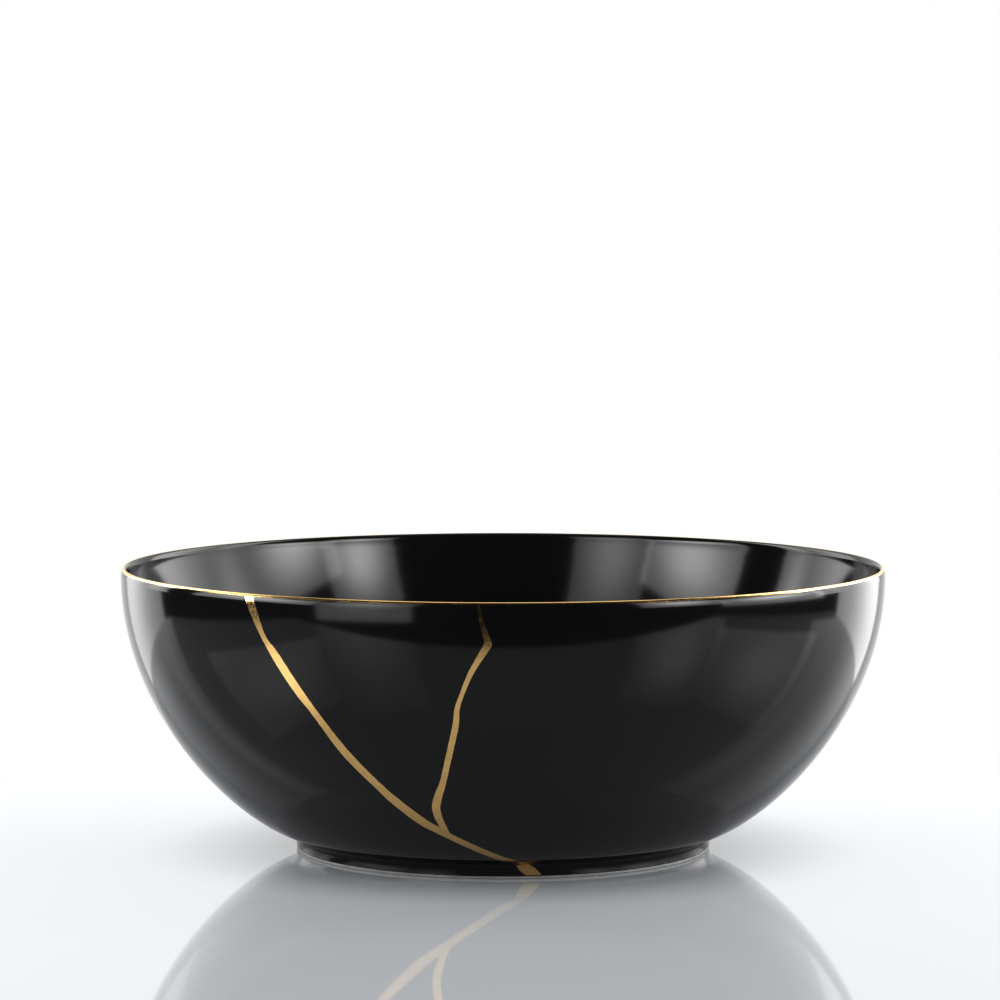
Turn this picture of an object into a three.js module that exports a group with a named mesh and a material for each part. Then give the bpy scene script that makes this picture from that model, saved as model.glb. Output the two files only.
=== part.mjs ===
// A round bowl of black-glazed porcelain, turned as one hollow body on a low foot ring.
// Millimetres, +Z up. The origin is the middle of the underside, at the level that the foot stands on.
import * as THREE from "three";

// Driving dimensions
const RIM_DIAMETER = 230;
const HEIGHT = 85.5;
const FOOT_DIAMETER = 125;
const FOOT_HEIGHT = 4.2;
const LIP_THICKNESS = 2;
const WALL_THICKNESS = 5.5; // low on the wall, from where it thins to the lip
const FLOOR_THICKNESS = 4.4;

// The lip and the foot ring
const LIP_ROUNDING = 2.3; // height of the rounded top of the lip
const LIP_TAPER = 6; // how quickly the wall thickens under the lip
const FOOT_RING_WIDTH = 5;
const FOOT_RING_SPLAY = 1.5; // how far the ring's inner side leans in towards the base
const BASE_RECESS = 2.4; // how far the base is lifted inside the foot ring
const FOOT_EDGE_ROUNDING = 0.8;
const FOOT_FILLET = 3; // the soft hollow where the foot ring runs into the body

// The outside wall is one sweep, upright under the lip and shallow where it meets the foot
const UPRIGHT_REACH = 41; // how far down the upright run pulls the curve
const UNDERSIDE_REACH = 20.5; // how far out the shallow run pulls the curve
const UNDERSIDE_SLOPE = THREE.MathUtils.degToRad(18);

// Facets
const FACETS_AROUND = 72;
const WALL_STEPS = 12;
const LIP_STEPS = 6;
const FLOOR_STEPS = 4;
const ROUNDING_STEPS = 3;

const rimRadius = RIM_DIAMETER / 2;
const footRadius = FOOT_DIAMETER / 2;
const ringInnerRadius = footRadius - FOOT_RING_WIDTH;
const lipBase = HEIGHT - LIP_ROUNDING;
const floorLevel = BASE_RECESS + FLOOR_THICKNESS;

function point(radius, level) {
  return new THREE.Vector2(radius, level);
}

// A corner rounded off between the point before it and the point after it
function rounding(before, corner, after) {
  return new THREE.QuadraticBezierCurve(before, corner, after).getPoints(ROUNDING_STEPS);
}

function outsideWall() {
  const outwards = point(Math.cos(UNDERSIDE_SLOPE), Math.sin(UNDERSIDE_SLOPE));
  const corner = point(footRadius, FOOT_HEIGHT);
  const foot = corner.clone().addScaledVector(outwards, FOOT_FILLET);
  const underside = corner.clone().addScaledVector(outwards, UNDERSIDE_REACH);
  const upright = point(rimRadius, lipBase - UPRIGHT_REACH);
  return new THREE.CubicBezierCurve(foot, underside, upright, point(rimRadius, lipBase));
}

// The base inside the ring, the ring's flat standing face and its outer side up to the wall
function footRing(wallStart) {
  const innerEdge = point(ringInnerRadius, 0);
  const outerEdge = point(footRadius, 0);
  return [
    point(0, BASE_RECESS),
    point(ringInnerRadius - FOOT_RING_SPLAY, BASE_RECESS),
    ...rounding(
      point(ringInnerRadius - FOOT_EDGE_ROUNDING * (FOOT_RING_SPLAY / BASE_RECESS), FOOT_EDGE_ROUNDING),
      innerEdge,
      point(ringInnerRadius + FOOT_EDGE_ROUNDING, 0),
    ),
    ...rounding(
      point(footRadius - FOOT_EDGE_ROUNDING, 0),
      outerEdge,
      point(footRadius, FOOT_EDGE_ROUNDING),
    ),
    ...rounding(
      point(footRadius, FOOT_HEIGHT - FOOT_FILLET),
      point(footRadius, FOOT_HEIGHT),
      wallStart,
    ),
  ];
}

// The lip is a half ellipse from the outside of the wall over to the inside
function lip() {
  const middle = point(rimRadius - LIP_THICKNESS / 2, lipBase);
  const arc = new THREE.EllipseCurve(middle.x, middle.y, LIP_THICKNESS / 2, LIP_ROUNDING, 0, Math.PI);
  return arc.getPoints(LIP_STEPS);
}

// The inside follows the outside, set in by a thickness that grows fast under the lip and then settles
function insideWall(outside) {
  const points = [];
  for (let step = 1; step <= WALL_STEPS; step += 1) {
    const down = step / WALL_STEPS;
    const tangent = outside.getTangent(1 - down);
    const inwards = point(-tangent.y, tangent.x);
    const growth = 1 - (1 - down) ** LIP_TAPER;
    const thickness = LIP_THICKNESS + (WALL_THICKNESS - LIP_THICKNESS) * growth;
    points.push(outside.getPoint(1 - down).addScaledVector(inwards, thickness));
  }
  return points;
}

// The floor runs on at the wall's slope and flattens towards the middle
function floor(wallEnd) {
  const run = (wallEnd.y - floorLevel) / Math.tan(UNDERSIDE_SLOPE);
  const turn = point(wallEnd.x - run, floorLevel);
  const curve = new THREE.QuadraticBezierCurve(wallEnd, turn, point(0, floorLevel));
  return curve.getPoints(FLOOR_STEPS).slice(1);
}

function bowlProfile() {
  const outside = outsideWall();
  const inside = insideWall(outside);
  const outsidePoints = outside.getPoints(WALL_STEPS);
  return [
    ...footRing(outsidePoints[0]),
    ...outsidePoints.slice(1),
    ...lip().slice(1),
    ...inside,
    ...floor(inside.at(-1)),
  ];
}

function bowl() {
  const geometry = new THREE.LatheGeometry(bowlProfile(), FACETS_AROUND);
  geometry.rotateX(Math.PI / 2);
  const blackGlaze = new THREE.MeshStandardMaterial({ color: 0x0a0a0b, roughness: 0.08, metalness: 0 });
  const mesh = new THREE.Mesh(geometry, blackGlaze);
  mesh.name = "bowl";
  return mesh;
}

const part = new THREE.Group();
part.add(bowl());

export default part;
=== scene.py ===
import math
from bisect import bisect_right

import bpy
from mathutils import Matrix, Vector, noise


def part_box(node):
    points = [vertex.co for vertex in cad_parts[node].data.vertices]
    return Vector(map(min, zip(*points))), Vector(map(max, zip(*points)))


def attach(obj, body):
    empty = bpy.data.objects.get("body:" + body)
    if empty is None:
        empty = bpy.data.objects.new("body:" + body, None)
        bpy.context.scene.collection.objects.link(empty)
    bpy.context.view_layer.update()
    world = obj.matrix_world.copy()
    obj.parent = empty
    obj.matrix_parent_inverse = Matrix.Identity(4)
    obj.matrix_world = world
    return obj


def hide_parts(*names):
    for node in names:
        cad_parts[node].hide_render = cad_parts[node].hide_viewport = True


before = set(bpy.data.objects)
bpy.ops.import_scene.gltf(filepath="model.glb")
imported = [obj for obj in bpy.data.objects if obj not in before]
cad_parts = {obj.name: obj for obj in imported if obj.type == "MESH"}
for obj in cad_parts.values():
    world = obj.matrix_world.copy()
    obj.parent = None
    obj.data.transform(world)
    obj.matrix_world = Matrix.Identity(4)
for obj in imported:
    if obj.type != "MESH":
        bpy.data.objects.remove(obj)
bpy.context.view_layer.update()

bl_info = {
    "name": "Black bowl with gold lines",
    "version": (1, 0, 0),
    "blender": (4, 5, 0),
    "location": "3D View > Sidebar > Bowl",
    "description": "Builds a black-glazed bowl with a gold lip and gold crack lines, and a plain photo stage",
    "category": "Object",
}

BODY = "root"
MM = 0.001

BOWL_LOW, BOWL_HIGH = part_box("bowl")
RIM_RADIUS = (BOWL_HIGH.x - BOWL_LOW.x) / 2
BOWL_HEIGHT = BOWL_HIGH.z - BOWL_LOW.z

# How quickly the wall thickens under the lip
LIP_TAPER = 6

# Fineness of the meshes
COLUMNS_AROUND = 256
WALL_STEPS = 72
LIP_STEPS = 16
FLOOR_STEPS = 14
ROUNDING_STEPS = 5
BASE_STEPS = 8
ROUTE_STEP = 0.6 * MM
LINE_COLUMNS = 5
LIP_COLUMNS = 14
BRANCH_SPREAD_ROWS = 6

# Where the rows of a gold line turn level, as a run from each of its ends
LEVEL_RUN = 4 * MM

# Bending of light by the glaze, which sets how strongly it mirrors
GLAZE_INDEX = 1.36

# How far from its middle a soft panel fades, as a share of its size
PANEL_FADE_REACH = 0.55

# Painted shadow on the table round the foot ring, made by dimming its painted glow: from this radius out to
# that one, and the share of glow left inside
PAINTED_SHADE_INNER = 55 * MM
PAINTED_SHADE_OUTER = 115 * MM
PAINTED_SHADE_GLOW = 0.3

# Gold lines, drawn by hand on the outside: each point is the angle round the bowl from the front in degrees,
# the run down the wall from the crest of the lip in mm and the width of the line in mm
FRONT_ROUTE = [
    (-38.6, 0.4, 3.2),
    (-37.4, 5.9, 2.6),
    (-36.4, 10.5, 1.9),
    (-35.5, 13.8, 1.8),
    (-34.2, 17.4, 2.8),
    (-31.2, 27.3, 2.9),
    (-29.6, 32.3, 2.4),
    (-28.2, 37.0, 2.4),
    (-25.3, 47.4, 2.9),
    (-21.4, 58.6, 2.8),
    (-19.0, 65.0, 3.3),
    (-15.3, 73.3, 3.5),
    (-12.7, 77.4, 3.2),
    (-10.1, 81.3, 2.8),
    (-2.9, 91.2, 2.9),
    (2.9, 98.5, 3.0),
    (5.6, 102.6, 3.7),
    (8.2, 105.4, 4.6),
]
BRANCH_ROUTE = [
    (-3.4, 0.4, 0.9),
    (-3.1, 4.6, 1.1),
    (-2.4, 9.5, 1.6),
    (-2.1, 11.8, 2.2),
    (-2.7, 14.0, 2.0),
    (-4.6, 20.5, 1.5),
    (-6.1, 27.7, 1.3),
    (-6.7, 31.4, 1.5),
    (-7.2, 37.8, 1.8),
    (-9.6, 54.6, 1.8),
    (-11.0, 61.5, 2.3),
    (-11.9, 66.8, 2.4),
    (-11.9, 71.5, 2.4),
]
# Where the branch meets the upper edge of the front line, as angles round the bowl
BRANCH_FOOT = (-12.2, -10.2)
BACK_ROUTE = [
    (171.0, 0.4, 2.4),
    (173.5, 14.0, 1.8),
    (170.0, 34.0, 2.2),
    (175.5, 58.0, 2.4),
    (173.0, 74.0, 2.6),
    (179.0, 92.0, 2.4),
    (182.5, 105.4, 3.4),
]


def length(name, description, default):
    """A size property in metres"""
    return bpy.props.FloatProperty(
        name=name, description=description, default=default, precision=5, subtype="DISTANCE", unit="LENGTH"
    )


def colour(name, description, default):
    """A linear colour property"""
    return bpy.props.FloatVectorProperty(
        name=name, description=description, default=default, size=3, min=0.0, max=1.0, subtype="COLOR"
    )


def share(name, description, default):
    """A property between nought and one"""
    return bpy.props.FloatProperty(
        name=name, description=description, default=default, min=0.0, max=1.0, subtype="FACTOR"
    )


class BowlSizes(bpy.types.PropertyGroup):
    """Sizes of the bowl beside its width and height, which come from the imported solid"""

    lip_thickness: length("Lip thickness", "Width of the rounded lip", 2.0 * MM)
    lip_rounding: length("Lip rounding", "Height of the rounded top of the lip", 2.3 * MM)
    wall_thickness: length("Wall thickness", "Thickness of the wall low down", 5.5 * MM)
    floor_thickness: length("Floor thickness", "Thickness of the floor", 4.4 * MM)
    foot_radius: length("Foot radius", "Outside radius of the foot ring", 62.5 * MM)
    foot_height: length("Foot height", "Height of the foot ring", 4.2 * MM)
    foot_ring_width: length("Foot ring width", "Width of the foot ring at the table", 5.0 * MM)
    foot_ring_splay: length("Foot ring splay", "Lean of the ring's inner side", 1.5 * MM)
    foot_rounding: length("Foot rounding", "Rounding of the ring's lower edges", 0.5 * MM)
    foot_fillet: length("Foot fillet", "Soft hollow where the ring runs into the body", 3.0 * MM)
    base_recess: length("Base recess", "Lift of the base inside the ring", 2.4 * MM)
    upright_reach: length("Upright reach", "Pull of the upright run under the lip", 41.0 * MM)
    underside_reach: length("Underside reach", "Pull of the shallow run above the foot", 20.5 * MM)
    underside_slope: bpy.props.FloatProperty(
        name="Underside slope",
        description="Slope of the wall where it meets the foot",
        default=math.radians(18.0),
        subtype="ANGLE",
        unit="ROTATION",
    )
    glaze_line: length("Glaze line", "Height where the glaze ends above the table", 0.85 * MM)
    glaze_wave: length("Glaze wave", "How far the glaze line wavers", 0.08 * MM)
    glaze_thickness: length("Glaze thickness", "Step from the glaze to the bare foot", 0.12 * MM)


class GoldSizes(bpy.types.PropertyGroup):
    """Sizes of the gold on the glaze"""

    proud: length("Proud", "Height of the gold film over the glaze", 0.03 * MM)
    lip_proud: length("Lip proud", "Height of the lip's gold over the glaze", 0.05 * MM)
    bed: length("Bed", "Depth of the film's underside in the glaze", 0.08 * MM)
    lip_inside: length("Lip line inside", "Run of the lip's gold inside the crest", 0.15 * MM)
    lip_outside: length("Lip line outside", "Run of the lip's gold outside the crest", 0.95 * MM)
    lip_wave: length("Lip line wave", "How far the lip line's edges waver", 0.1 * MM)
    edge_wave: share("Edge wave", "How much the width of a line wavers", 0.08)


class BowlFinish(bpy.types.PropertyGroup):
    """Colours and gloss of the bowl"""

    glaze: colour("Glaze", "Colour of the black glaze", (0.0001, 0.0001, 0.0001))
    glaze_light: colour("Glaze light", "Paler tone in the black glaze", (0.0003, 0.0003, 0.0003))
    glaze_roughness: share("Glaze roughness", "Roughness of the glaze", 0.055)
    gold: colour("Gold", "Colour of the gold", (0.90, 0.642, 0.304))
    gold_deep: colour("Gold deep", "Deeper tone in the gold", (0.83, 0.585, 0.27))
    gold_roughness: share("Gold roughness", "Roughness of the gold", 0.2)
    bare: colour("Bare body", "Colour of the unglazed body", (0.38, 0.385, 0.38))
    bare_dark: colour("Bare body dark", "Darker tone in the unglazed body", (0.30, 0.305, 0.30))


class StageSettings(bpy.types.PropertyGroup):
    """The camera, the table and the light"""

    camera_distance: length("Camera distance", "From the bowl's axis to the camera", 1272.3 * MM)
    camera_height: length("Camera height", "From the table to the camera", 201.9 * MM)
    camera_aside: length("Camera aside", "How far the camera stands to the left", 0.9 * MM)
    camera_dip: bpy.props.FloatProperty(
        name="Camera dip",
        description="How far the camera looks down",
        default=math.radians(4.35),
        subtype="ANGLE",
        unit="ROTATION",
    )
    camera_lens: bpy.props.FloatProperty(
        name="Camera lens",
        description="Focal length on a 36 mm sensor",
        default=152.3,
        subtype="DISTANCE_CAMERA",
    )
    table_left: length("Table left", "Left edge of the table top", -450.0 * MM)
    table_right: length("Table right", "Right edge of the table top", 520.0 * MM)
    table_front: length("Table front", "Front edge of the table top", -300.0 * MM)
    table_back: length("Table back", "Back edge of the table top", 140.0 * MM)
    table_thickness: length("Table thickness", "Thickness of the table top", 6.0 * MM)
    table: colour("Table", "Colour of the table top", (0.20, 0.203, 0.208))
    # Painted light: colour of a glow painted into the table top, standing in for light from below
    painted_table_glow: colour("Table glow", "Light from within the table top, lit from below", (0.35, 0.36, 0.375))
    film_gamma: bpy.props.FloatProperty(
        name="Film gamma", description="Below one gives the deeper shadows of a studio picture", default=0.72
    )
    room_light: share("Room light", "Dim light of the room around the lamps", 0.015)


# Outline of the bowl: points are (radius, level)


def flat(radius, level):
    return Vector((radius, level))


def cubic(points, t):
    """A point on a cubic curve"""
    a, b, c, d = points
    s = 1 - t
    return a * s**3 + b * (3 * s * s * t) + c * (3 * s * t * t) + d * t**3


def cubic_heading(points, t):
    """The direction of a cubic curve"""
    a, b, c, d = points
    s = 1 - t
    return ((b - a) * s**2 + (c - b) * (2 * s * t) + (d - c) * t**2).normalized()


def rounding(before, corner, after, steps=ROUNDING_STEPS):
    """Points that round off a corner"""
    points = []
    for step in range(steps + 1):
        t = step / steps
        points.append(before * (1 - t) ** 2 + corner * (2 * t * (1 - t)) + after * t**2)
    return points


def outside_handles(sizes):
    """The outside wall from the foot up to the lip, as one cubic curve"""
    outwards = flat(math.cos(sizes.underside_slope), math.sin(sizes.underside_slope))
    corner = flat(sizes.foot_radius, sizes.foot_height)
    top = flat(RIM_RADIUS, BOWL_HEIGHT - sizes.lip_rounding)
    return (
        corner + outwards * sizes.foot_fillet,
        corner + outwards * sizes.underside_reach,
        top - flat(0, sizes.upright_reach),
        top,
    )


def lip_arc(sizes):
    """The rounded lip from the outside over the crest to the inside"""
    half = sizes.lip_thickness / 2
    base = BOWL_HEIGHT - sizes.lip_rounding
    points = []
    for step in range(LIP_STEPS + 1):
        turn = math.pi * step / LIP_STEPS
        radius = RIM_RADIUS - half + half * math.cos(turn)
        points.append(flat(radius, base + sizes.lip_rounding * math.sin(turn)))
    return points


def inside_wall(sizes):
    """The inside, set in from the outside by a thickness that grows fast under the lip and settles"""
    handles = outside_handles(sizes)
    points = []
    for step in range(1, WALL_STEPS + 1):
        down = step / WALL_STEPS
        heading = cubic_heading(handles, 1 - down)
        growth = 1 - (1 - down) ** LIP_TAPER
        thickness = sizes.lip_thickness + (sizes.wall_thickness - sizes.lip_thickness) * growth
        points.append(cubic(handles, 1 - down) + flat(-heading.y, heading.x) * thickness)
    return points


def inside_floor(sizes, wall_end):
    """The floor, from the end of the inside wall to the middle"""
    level = sizes.base_recess + sizes.floor_thickness
    run = (wall_end.y - level) / math.tan(sizes.underside_slope)
    return rounding(wall_end, flat(wall_end.x - run, level), flat(0, level), FLOOR_STEPS)[1:]


def foot_fillet(sizes):
    """The hollow between the foot ring and the outside wall"""
    corner = flat(sizes.foot_radius, sizes.foot_height)
    return rounding(corner - flat(0, sizes.foot_fillet), corner, outside_handles(sizes)[0])


def outside_wall(sizes):
    """Points of the outside wall from the foot up to the lip"""
    handles = outside_handles(sizes)
    return [cubic(handles, step / WALL_STEPS) for step in range(WALL_STEPS + 1)]


class OutsideRun:
    """The outline from inside the lip over its crest and down to the foot, by its length from the crest"""

    def __init__(self, sizes):
        line = list(reversed(outside_wall(sizes)[1:-1] + lip_arc(sizes)))
        line += list(reversed(foot_fillet(sizes)))
        line.append(flat(sizes.foot_radius, sizes.glaze_line))
        runs = [0.0]
        for before, after in zip(line, line[1:]):
            runs.append(runs[-1] + (after - before).length)
        crest = runs[LIP_STEPS // 2]
        self.line = line
        self.runs = [run - crest for run in runs]

    def at(self, run):
        """The point at this run, and the way down the outline there"""
        after = min(max(bisect_right(self.runs, run), 1), len(self.line) - 1)
        low, high = self.line[after - 1], self.line[after]
        t = (run - self.runs[after - 1]) / (self.runs[after] - self.runs[after - 1])
        return low.lerp(high, t), (high - low).normalized()

    def place(self, angle, run, proud=0.0):
        """The point in space at this angle and run, lifted off the surface by proud"""
        point, down = self.at(run)
        point = point + flat(-down.y, down.x) * proud
        return turned(point, angle)


def turned(point, angle):
    """A point of the outline at an angle round the bowl: nought is the front, and the right is positive"""
    return Vector((point.x * math.sin(angle), -point.x * math.cos(angle), point.y))


def wavering(angle, lobes, seed):
    """A smooth closed waver round the bowl, between about minus one and one"""
    return noise.noise(Vector((lobes * math.sin(angle), lobes * math.cos(angle), seed))) * 1.6


# The bowl's body


def body_rows(sizes):
    """Rows of the body from the middle of the base round to the middle of the floor.
    Each row is (point, how much the waver of the glaze line moves it, the row is bare)"""
    ring_in = sizes.foot_radius - sizes.foot_ring_width
    edge = sizes.foot_rounding
    lean = flat(-sizes.foot_ring_splay, sizes.base_recess).normalized()
    base_corner = flat(ring_in - sizes.foot_ring_splay, sizes.base_recess)
    bare_radius = sizes.foot_radius - sizes.glaze_thickness
    line = sizes.glaze_line
    step = sizes.glaze_thickness

    base = [flat(base_corner.x * out / BASE_STEPS, sizes.base_recess) for out in range(BASE_STEPS)]
    base += rounding(base_corner - flat(edge, 0), base_corner, base_corner - lean * edge)
    inner_edge = flat(ring_in, 0)
    bare_edge = flat(bare_radius, 0)
    bare = rounding(inner_edge + lean * edge, inner_edge, flat(ring_in + edge, 0))
    bare += rounding(bare_edge - flat(edge, 0), bare_edge, bare_edge + flat(0, edge))
    rows = [(point, 0, False) for point in base]
    rows += [(point, 0, True) for point in bare]
    rows.append((flat(bare_radius, line), 1, False))
    rows.append((flat(bare_radius + step * 0.45, line + step * 0.25), 1, False))
    rows.append((flat(bare_radius + step * 0.85, line + step * 0.9), 1, False))
    rows.append((flat(sizes.foot_radius, line + step * 2), 1, False))
    glazed = foot_fillet(sizes) + outside_wall(sizes)[1:] + lip_arc(sizes)[1:]
    inside = inside_wall(sizes)
    rows += [(point, 0, False) for point in glazed + inside + inside_floor(sizes, inside[-1])]
    return rows


def make_body_mesh(sizes):
    """The body turned from its rows, with the bare foot as the second finish"""
    rows = body_rows(sizes)
    places, rings = [], []
    for point, waver, _ in rows:
        first = len(places)
        if point.x < 1e-9:
            places.append(turned(point, 0))
            rings.append([first] * COLUMNS_AROUND)
            continue
        for column in range(COLUMNS_AROUND):
            angle = math.tau * column / COLUMNS_AROUND
            lift = waver * sizes.glaze_wave * wavering(angle, 5.0, 3.0)
            places.append(turned(point + flat(0, lift), angle))
        rings.append(range(first, first + COLUMNS_AROUND))
    faces, finishes = [], []
    for row, (lower, upper) in enumerate(zip(rings, rings[1:])):
        for column in range(COLUMNS_AROUND):
            beside = (column + 1) % COLUMNS_AROUND
            corners = (lower[column], lower[beside], upper[beside], upper[column])
            faces.append(tuple(dict.fromkeys(corners)))
            finishes.append(1 if rows[row][2] else 0)
    mesh = bpy.data.meshes.new("bowl_body")
    mesh.from_pydata(places, [], faces)
    mesh.polygons.foreach_set("material_index", finishes)
    mesh.shade_smooth()
    return mesh


# Gold films


def curve_through(a, b, c, d, t):
    """A point between b and c on a smooth curve through four points"""
    return 0.5 * (b * 2 + (c - a) * t + (a * 2 - b * 5 + c * 4 - d) * t**2 + (b * 3 - a - c * 3 + d) * t**3)


def smooth_route(route):
    """Close points on a smooth curve through a route's points, as vectors of angle, run and width"""
    points = [Vector((math.radians(angle), run * MM, width * MM)) for angle, run, width in route]
    points = [points[0] * 2 - points[1], *points, points[-1] * 2 - points[-2]]
    smooth = []
    for a, b, c, d in zip(points, points[1:], points[2:], points[3:]):
        gap = math.hypot((c.x - b.x) * RIM_RADIUS, c.y - b.y)
        steps = max(2, round(gap / ROUTE_STEP))
        smooth += [curve_through(a, b, c, d, step / steps) for step in range(steps)]
    smooth.append(points[-2])
    return smooth


def line_rows(outside, route, columns, gold, seed):
    """Rows across a gold line, from its left edge to its right, each a list of (angle, run).
    The rows lie across the line, and turn level at its two ends"""
    smooth = smooth_route(route)
    rows = []
    for index, here in enumerate(smooth):
        before, after = smooth[max(index - 1, 0)], smooth[min(index + 1, len(smooth) - 1)]
        radius = outside.at(here.y)[0].x
        along = Vector(((after.x - before.x) * radius, after.y - before.y)).normalized()
        across = Vector((along.y, -along.x))
        to_end = min(here.y - smooth[0].y, smooth[-1].y - here.y)
        level = max(0.0, 1.0 - to_end / LEVEL_RUN)
        across = across.lerp(Vector((1, 0)), level).normalized()
        row = []
        for column in range(columns):
            side = 2 * column / (columns - 1) - 1
            ragged = noise.noise(Vector((index * 0.35, 7.0 * math.copysign(1, side), seed)))
            reach = side * here.z / 2 * (1 + gold.edge_wave * ragged)
            row.append((here.x + across.x * reach / radius, here.y + across.y * reach))
        rows.append(row)
    return rows


def quads(rows):
    """Faces between rows of point numbers, facing out of the bowl"""
    faces = []
    for upper, lower in zip(rows, rows[1:]):
        for column in range(len(upper) - 1):
            faces.append((upper[column], lower[column], lower[column + 1], upper[column + 1]))
    return faces


def number_rows(rows, places):
    """Adds the rows' points to places and gives their numbers, row by row"""
    numbers = []
    for row in rows:
        first = len(places)
        places += row
        numbers.append(list(range(first, first + len(row))))
    return numbers


def film_mesh(name, outside, places, faces, proud, bed):
    """A thin closed film on the outside of the bowl.
    Its top is a hair proud of the glaze and its underside lies in it"""
    count = len(places)
    top = [outside.place(angle, run, proud) for angle, run in places]
    under = [outside.place(angle, run, -bed) for angle, run in places]
    edges = {edge for face in faces for edge in zip(face, face[1:] + face[:1])}
    skin = list(faces)
    skin += [tuple(corner + count for corner in reversed(face)) for face in faces]
    skin += [(b, a, a + count, b + count) for a, b in sorted(edges) if (b, a) not in edges]
    mesh = bpy.data.meshes.new(name)
    mesh.from_pydata(top + under, [], skin)
    mesh.shade_smooth()
    mesh.set_sharp_from_angle(angle=math.radians(40))
    return mesh


def forked_line_mesh(name, outside, gold):
    """The front line with its branch, as one film"""
    places = []
    main = number_rows(line_rows(outside, FRONT_ROUTE, LINE_COLUMNS, gold, 1.0), places)
    start, end = (math.radians(angle) for angle in BRANCH_FOOT)
    shared = [row[-1] for row in main if start <= places[row[-1]][0] <= end]
    branch_rows = line_rows(outside, BRANCH_ROUTE, len(shared), gold, 2.0)
    last = branch_rows[-1]
    landing = [places[number] for number in shared]
    for step in range(1, BRANCH_SPREAD_ROWS):
        t = step / BRANCH_SPREAD_ROWS
        branch_rows.append([tuple(Vector(a).lerp(Vector(b), t)) for a, b in zip(last, landing)])
    branch = number_rows(branch_rows, places) + [shared]
    return film_mesh(name, outside, places, quads(main) + quads(branch), gold.proud, gold.bed)


def plain_line_mesh(name, outside, route, gold):
    """A gold line with no branch"""
    places = []
    rows = number_rows(line_rows(outside, route, LINE_COLUMNS, gold, 3.0), places)
    return film_mesh(name, outside, places, quads(rows), gold.proud, gold.bed)


def lip_line_mesh(name, outside, gold):
    """The gold line that covers the lip all the way round"""
    places = []
    rows = []
    for column in range(COLUMNS_AROUND):
        angle = math.tau * column / COLUMNS_AROUND
        inner = -gold.lip_inside + gold.lip_wave * wavering(angle, 6.0, 11.0)
        outer = gold.lip_outside + gold.lip_wave * wavering(angle, 9.0, 17.0)
        steps = range(LIP_COLUMNS + 1)
        rows.append([(angle, inner + (outer - inner) * step / LIP_COLUMNS) for step in steps])
    numbers = number_rows(rows, places)
    faces = quads([list(line) for line in zip(*(numbers + numbers[:1]))])
    return film_mesh(name, outside, places, faces, gold.lip_proud, gold.bed)


# Finishes


def new_finish(name):
    """A material with its node tree, its shader and its coordinates on the object"""
    finish = bpy.data.materials.new(name)
    finish.use_nodes = True
    tree = finish.node_tree
    shader = tree.nodes["Principled BSDF"]
    coordinates = tree.nodes.new("ShaderNodeTexCoord").outputs["Object"]
    return finish, tree, shader, coordinates


def add_noise(tree, coordinates, size, detail=2.0, roughness=0.5):
    """Noise with features of about this size in metres"""
    texture = tree.nodes.new("ShaderNodeTexNoise")
    texture.inputs["Scale"].default_value = 1.0 / size
    texture.inputs["Detail"].default_value = detail
    texture.inputs["Roughness"].default_value = roughness
    tree.links.new(coordinates, texture.inputs["Vector"])
    return texture.outputs["Fac"]


def add_tones(tree, pattern, dark, light, low, high):
    """Two tones blended by a pattern"""
    ramp = tree.nodes.new("ShaderNodeValToRGB")
    ramp.color_ramp.elements[0].position = low
    ramp.color_ramp.elements[0].color = (*dark, 1)
    ramp.color_ramp.elements[1].position = high
    ramp.color_ramp.elements[1].color = (*light, 1)
    tree.links.new(pattern, ramp.inputs["Fac"])
    return ramp.outputs["Color"]


def add_range(tree, pattern, low, high):
    """A pattern brought between two values"""
    reach = tree.nodes.new("ShaderNodeMapRange")
    reach.inputs["From Min"].default_value = 0.3
    reach.inputs["From Max"].default_value = 0.7
    reach.inputs["To Min"].default_value = low
    reach.inputs["To Max"].default_value = high
    tree.links.new(pattern, reach.inputs["Value"])
    return reach.outputs["Result"]


def add_bump(tree, pattern, height):
    """A bump of this height in metres"""
    bump = tree.nodes.new("ShaderNodeBump")
    bump.inputs["Strength"].default_value = 1.0
    bump.inputs["Distance"].default_value = height
    tree.links.new(pattern, bump.inputs["Height"])
    return bump.outputs["Normal"]


def black_glaze(looks):
    """Deep black glaze: glassy, with a faint swell and tone"""
    finish, tree, shader, coordinates = new_finish("black_glaze")
    swell = add_noise(tree, coordinates, 22 * MM, 1.0)
    tone = add_noise(tree, coordinates, 6 * MM, 3.0)
    rough = looks.glaze_roughness
    tones = add_tones(tree, tone, looks.glaze, looks.glaze_light, 0.35, 0.7)
    tree.links.new(tones, shader.inputs["Base Color"])
    tree.links.new(add_range(tree, tone, rough * 0.9, rough * 1.1), shader.inputs["Roughness"])
    tree.links.new(add_bump(tree, swell, 0.012 * MM), shader.inputs["Normal"])
    shader.inputs["IOR"].default_value = GLAZE_INDEX
    return finish


def fired_gold(looks):
    """Fired gold: bright, a little uneven in tone and gloss"""
    finish, tree, shader, coordinates = new_finish("fired_gold")
    mottle = add_noise(tree, coordinates, 3.5 * MM, 4.0, 0.6)
    brushing = add_noise(tree, coordinates, 0.9 * MM, 3.0)
    rough = looks.gold_roughness
    tones = add_tones(tree, mottle, looks.gold_deep, looks.gold, 0.3, 0.6)
    tree.links.new(tones, shader.inputs["Base Color"])
    tree.links.new(add_range(tree, brushing, rough * 0.75, rough * 1.3), shader.inputs["Roughness"])
    tree.links.new(add_bump(tree, brushing, 0.01 * MM), shader.inputs["Normal"])
    shader.inputs["Metallic"].default_value = 1.0
    return finish


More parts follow.
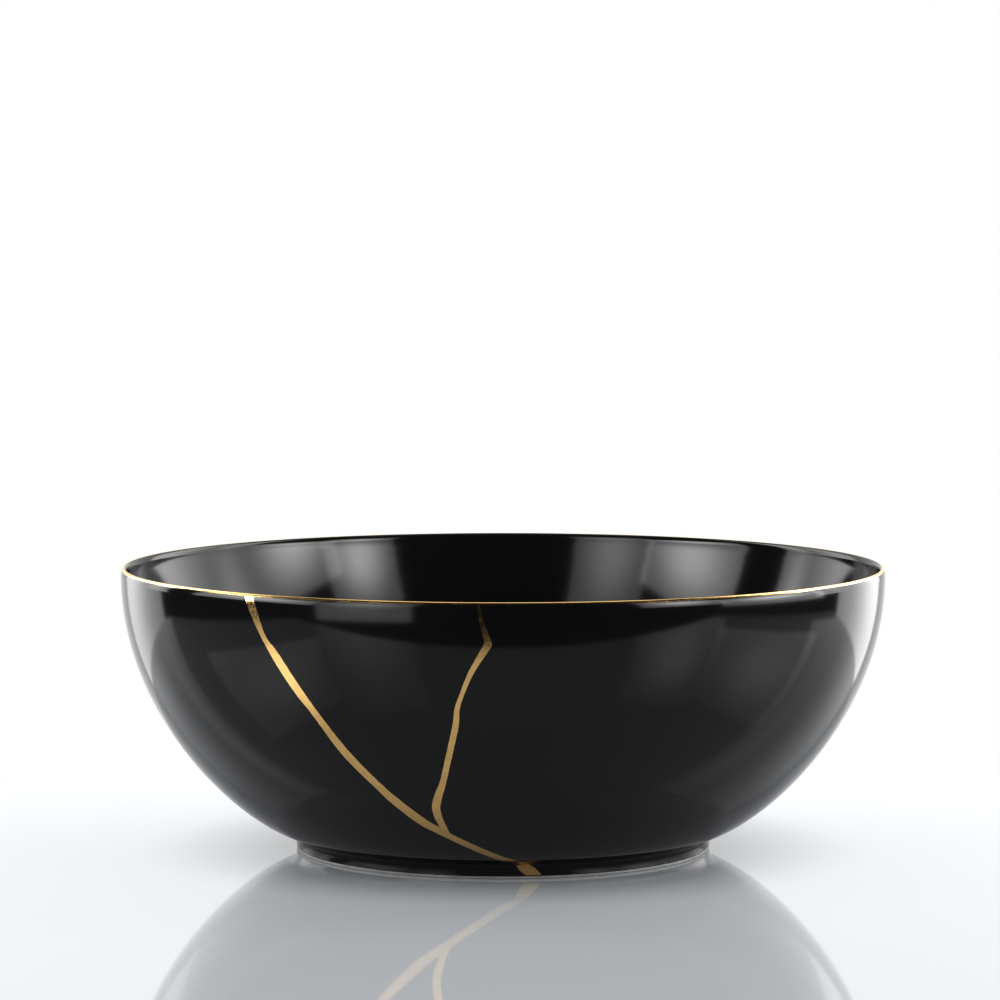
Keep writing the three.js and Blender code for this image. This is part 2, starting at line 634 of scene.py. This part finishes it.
def bare_body(looks):
    """Unglazed fired body: pale, dry and finely grained"""
    finish, tree, shader, coordinates = new_finish("bare_porcelain")
    stain = add_noise(tree, coordinates, 4 * MM, 4.0, 0.65)
    grain = add_noise(tree, coordinates, 0.35 * MM, 3.0, 0.6)
    tones = add_tones(tree, stain, looks.bare_dark, looks.bare, 0.3, 0.6)
    tree.links.new(tones, shader.inputs["Base Color"])
    tree.links.new(add_range(tree, grain, 0.65, 0.9), shader.inputs["Roughness"])
    tree.links.new(add_bump(tree, grain, 0.05 * MM), shader.inputs["Normal"])
    return finish


def finish_named(name, maker, looks):
    """The finish of this name, made once"""
    return bpy.data.materials.get(name) or maker(looks)


def add_piece(name, mesh, slot, *finishes):
    """Puts a piece in the scene on the bowl's body, with its finishes; the slot is not used"""
    for finish in finishes:
        mesh.materials.append(finish)
    piece = bpy.data.objects.new(name, mesh)
    bpy.context.scene.collection.objects.link(piece)
    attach(piece, BODY)
    return piece


# Stage


def soft_panel(name, centre, aim, width, height, brightness, edge=1.0):
    """A soft rectangular light that shows in the glaze but not to the camera.
    It fades from its middle to a share of its brightness at the edge"""
    lamp = bpy.data.lights.new(name, "AREA")
    lamp.shape = "RECTANGLE"
    lamp.size = width
    lamp.size_y = height
    lamp.energy = brightness * math.pi * width * height
    lamp.use_nodes = True
    tree = lamp.node_tree
    place = tree.nodes.new("ShaderNodeNewGeometry").outputs["Parametric"]
    from_middle = tree.nodes.new("ShaderNodeVectorMath")
    from_middle.operation = "DISTANCE"
    from_middle.inputs[1].default_value = (0.5, 0.5, 0)
    tree.links.new(place, from_middle.inputs[0])
    fade = tree.nodes.new("ShaderNodeMapRange")
    fade.interpolation_type = "SMOOTHSTEP"
    fade.inputs["From Max"].default_value = PANEL_FADE_REACH
    fade.inputs["To Min"].default_value = 1.0
    fade.inputs["To Max"].default_value = edge
    tree.links.new(from_middle.outputs["Value"], fade.inputs["Value"])
    tree.links.new(fade.outputs["Result"], tree.nodes["Emission"].inputs["Strength"])
    panel = bpy.data.objects.new(name, lamp)
    panel.location = centre
    panel.rotation_euler = (Vector(aim) - Vector(centre)).to_track_quat("-Z", "Y").to_euler()
    panel.visible_camera = False
    bpy.context.scene.collection.objects.link(panel)


def painted_shade_under_bowl(tree, coordinates):
    """The table's painted glow, dimmed round the foot ring as a painted shadow"""
    from_axis = tree.nodes.new("ShaderNodeVectorMath")
    from_axis.operation = "LENGTH"
    tree.links.new(coordinates, from_axis.inputs[0])
    shade = tree.nodes.new("ShaderNodeMapRange")
    shade.interpolation_type = "SMOOTHSTEP"
    shade.inputs["From Min"].default_value = PAINTED_SHADE_INNER
    shade.inputs["From Max"].default_value = PAINTED_SHADE_OUTER
    shade.inputs["To Min"].default_value = PAINTED_SHADE_GLOW
    tree.links.new(from_axis.outputs["Value"], shade.inputs["Value"])
    return shade.outputs["Result"]


def make_table(stage):
    """A plain pale table top with a soft edge"""
    middle_x = (stage.table_left + stage.table_right) / 2
    middle_y = (stage.table_front + stage.table_back) / 2
    middle = Vector((middle_x, middle_y, 0))
    half = Vector((stage.table_right, stage.table_back, 0)) - middle
    corners = [(-1, -1), (1, -1), (1, 1), (-1, 1)]
    places = [middle + Vector((x * half.x, y * half.y, 0)) for x, y in corners]
    places += [place - Vector((0, 0, stage.table_thickness)) for place in places]
    faces = [(0, 1, 2, 3), (7, 6, 5, 4)]
    faces += [(a, a + 4, (a + 1) % 4 + 4, (a + 1) % 4) for a in range(4)]
    mesh = bpy.data.meshes.new("table_top")
    mesh.from_pydata(places, [], faces)
    finish, tree, shader, coordinates = new_finish("pale_table")
    haze = add_noise(tree, coordinates, 60 * MM, 2.0)
    shader.inputs["Base Color"].default_value = (*stage.table, 1)
    # Painted light: the table top glows as though lit from below, and the glow is dimmed round the foot ring
    # as a painted shadow
    shader.inputs["Emission Color"].default_value = (*stage.painted_table_glow, 1)
    tree.links.new(painted_shade_under_bowl(tree, coordinates), shader.inputs["Emission Strength"])
    tree.links.new(add_range(tree, haze, 0.03, 0.05), shader.inputs["Roughness"])
    mesh.materials.append(finish)
    table = bpy.data.objects.new("table_top", mesh)
    bpy.context.scene.collection.objects.link(table)
    softened = table.modifiers.new("soft_edge", "BEVEL")
    softened.width = 1 * MM
    softened.segments = 2


def make_room(stage):
    """A white room to the camera, and a dim one to the glaze, so that the panels make the highlights"""
    world = bpy.data.worlds.new("studio")
    world.use_nodes = True
    tree = world.node_tree
    dim = tree.nodes["Background"]
    dim.inputs["Color"].default_value = (1, 1, 1, 1)
    dim.inputs["Strength"].default_value = stage.room_light
    white = tree.nodes.new("ShaderNodeBackground")
    white.inputs["Color"].default_value = (1, 1, 1, 1)
    seen = tree.nodes.new("ShaderNodeLightPath").outputs["Is Camera Ray"]
    mix = tree.nodes.new("ShaderNodeMixShader")
    tree.links.new(seen, mix.inputs["Fac"])
    tree.links.new(dim.outputs["Background"], mix.inputs[1])
    tree.links.new(white.outputs["Background"], mix.inputs[2])
    tree.links.new(mix.outputs["Shader"], tree.nodes["World Output"].inputs["Surface"])
    bpy.context.scene.world = world


def make_lights():
    """A white tent with an open front: a panel overhead, two walls a side and four soft panels in front.
    Each is its middle, the point it faces, its width and height in metres, its brightness and its edge"""
    soft_panel("backdrop", (0, 1.0, 0.4), (0, 0, 0.4), 1.24, 1.6, 1.05)
    soft_panel("top_panel", (0, 0.25, 1.1), (0, 0.25, 0), 0.9, 0.7, 1.3)
    soft_panel("left_wall", (-0.62, 0.31, 0.57), (0, 0.31, 0.57), 0.18, 1.06, 8.0, 0.4)
    soft_panel("left_back_wall", (-0.62, 0.64, 0.4), (0, 0.64, 0.4), 0.74, 1.4, 3.7, 0.6)
    soft_panel("right_wall", (0.62, 0.19, 0.57), (0, 0.19, 0.57), 0.22, 1.06, 6.8, 0.5)
    soft_panel("right_back_wall", (0.62, 0.61, 0.4), (0, 0.61, 0.4), 0.78, 1.4, 4.8, 0.6)
    soft_panel("left_front_panel", (-0.53, -0.66, 0.34), (0, 0, 0.34), 0.42, 0.81, 5.6, 0.4)
    soft_panel("right_front_panel", (0.66, -0.53, 0.35), (0, 0, 0.35), 0.40, 0.58, 11.0, 0.25)
    soft_panel("left_side_panel", (-0.50, -0.18, 0.24), (0, -0.18, 0.24), 0.42, 0.30, 10.5, 0.35)
    soft_panel("right_side_panel", (0.50, -0.10, 0.18), (0, -0.10, 0.18), 0.36, 0.28, 11.0, 0.3)


def make_camera(stage):
    """The camera, a little above the rim and in front of the bowl"""
    camera_data = bpy.data.cameras.new("camera")
    camera_data.sensor_width = 36.0
    camera_data.lens = stage.camera_lens
    camera_data.clip_start = 0.01
    camera = bpy.data.objects.new("camera", camera_data)
    camera.location = (-stage.camera_aside, -stage.camera_distance, stage.camera_height)
    camera.rotation_euler = (math.pi / 2 - stage.camera_dip, 0, 0)
    bpy.context.scene.collection.objects.link(camera)
    bpy.context.scene.camera = camera


# Operators and panel


class BOWL_OT_make_stage(bpy.types.Operator):
    """Make the table, the light and the camera"""

    bl_idname = "bowl.make_stage"
    bl_label = "Make stage"

    def execute(self, context):
        stage = context.scene.bowl_stage
        make_camera(stage)
        make_table(stage)
        make_room(stage)
        make_lights()
        context.scene.view_settings.view_transform = "Standard"
        context.scene.view_settings.gamma = stage.film_gamma
        return {"FINISHED"}


class BOWL_OT_make_body(bpy.types.Operator):
    """Make the bowl's body with its glaze and its bare foot"""

    bl_idname = "bowl.make_body"
    bl_label = "Make body"

    def execute(self, context):
        looks = context.scene.bowl_finish
        glaze = finish_named("black_glaze", black_glaze, looks)
        bare = finish_named("bare_porcelain", bare_body, looks)
        piece = add_piece("bowl_body", make_body_mesh(context.scene.bowl_sizes), "black_glaze", glaze, bare)
        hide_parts("bowl")
        return {"FINISHED"}


class BOWL_OT_make_gold_lip(bpy.types.Operator):
    """Make the gold line on the lip"""

    bl_idname = "bowl.make_gold_lip"
    bl_label = "Make gold lip"

    def execute(self, context):
        scene = context.scene
        mesh = lip_line_mesh("gold_lip", OutsideRun(scene.bowl_sizes), scene.bowl_gold)
        add_piece("gold_lip", mesh, "gold_lustre", finish_named("fired_gold", fired_gold, scene.bowl_finish))
        return {"FINISHED"}


class BOWL_OT_make_gold_lines(bpy.types.Operator):
    """Make the forked gold line on the front and the plain one on the back"""

    bl_idname = "bowl.make_gold_lines"
    bl_label = "Make gold lines"

    def execute(self, context):
        scene = context.scene
        outside = OutsideRun(scene.bowl_sizes)
        gold = finish_named("fired_gold", fired_gold, scene.bowl_finish)
        front = forked_line_mesh("gold_line_front", outside, scene.bowl_gold)
        back = plain_line_mesh("gold_line_back", outside, BACK_ROUTE, scene.bowl_gold)
        add_piece("gold_line_front", front, "gold_lustre", gold)
        add_piece("gold_line_back", back, "gold_lustre", gold)
        return {"FINISHED"}


class BOWL_PT_panel(bpy.types.Panel):
    """The bowl's sizes, finishes and makers"""

    bl_idname = "BOWL_PT_panel"
    bl_label = "Bowl"
    bl_space_type = "VIEW_3D"
    bl_region_type = "UI"
    bl_category = "Bowl"

    def draw(self, context):
        for operator in OPERATORS:
            self.layout.operator(operator.bl_idname)
        for name in SETTINGS:
            settings = getattr(context.scene, name)
            box = self.layout.box()
            for key in settings.__annotations__:
                box.prop(settings, key)


OPERATORS = (BOWL_OT_make_stage, BOWL_OT_make_body, BOWL_OT_make_gold_lip, BOWL_OT_make_gold_lines)
SETTINGS = {
    "bowl_sizes": BowlSizes,
    "bowl_gold": GoldSizes,
    "bowl_finish": BowlFinish,
    "bowl_stage": StageSettings,
}
CLASSES = (*SETTINGS.values(), *OPERATORS, BOWL_PT_panel)


def register():
    for item in CLASSES:
        bpy.utils.register_class(item)
    for name, group in SETTINGS.items():
        setattr(bpy.types.Scene, name, bpy.props.PointerProperty(type=group))


def unregister():
    for name in SETTINGS:
        delattr(bpy.types.Scene, name)
    for item in reversed(CLASSES):
        bpy.utils.unregister_class(item)


def main():
    register()
    bpy.ops.bowl.make_stage()
    bpy.ops.bowl.make_body()
    bpy.ops.bowl.make_gold_lip()
    bpy.ops.bowl.make_gold_lines()
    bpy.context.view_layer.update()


if __name__ == "__main__":
    main()
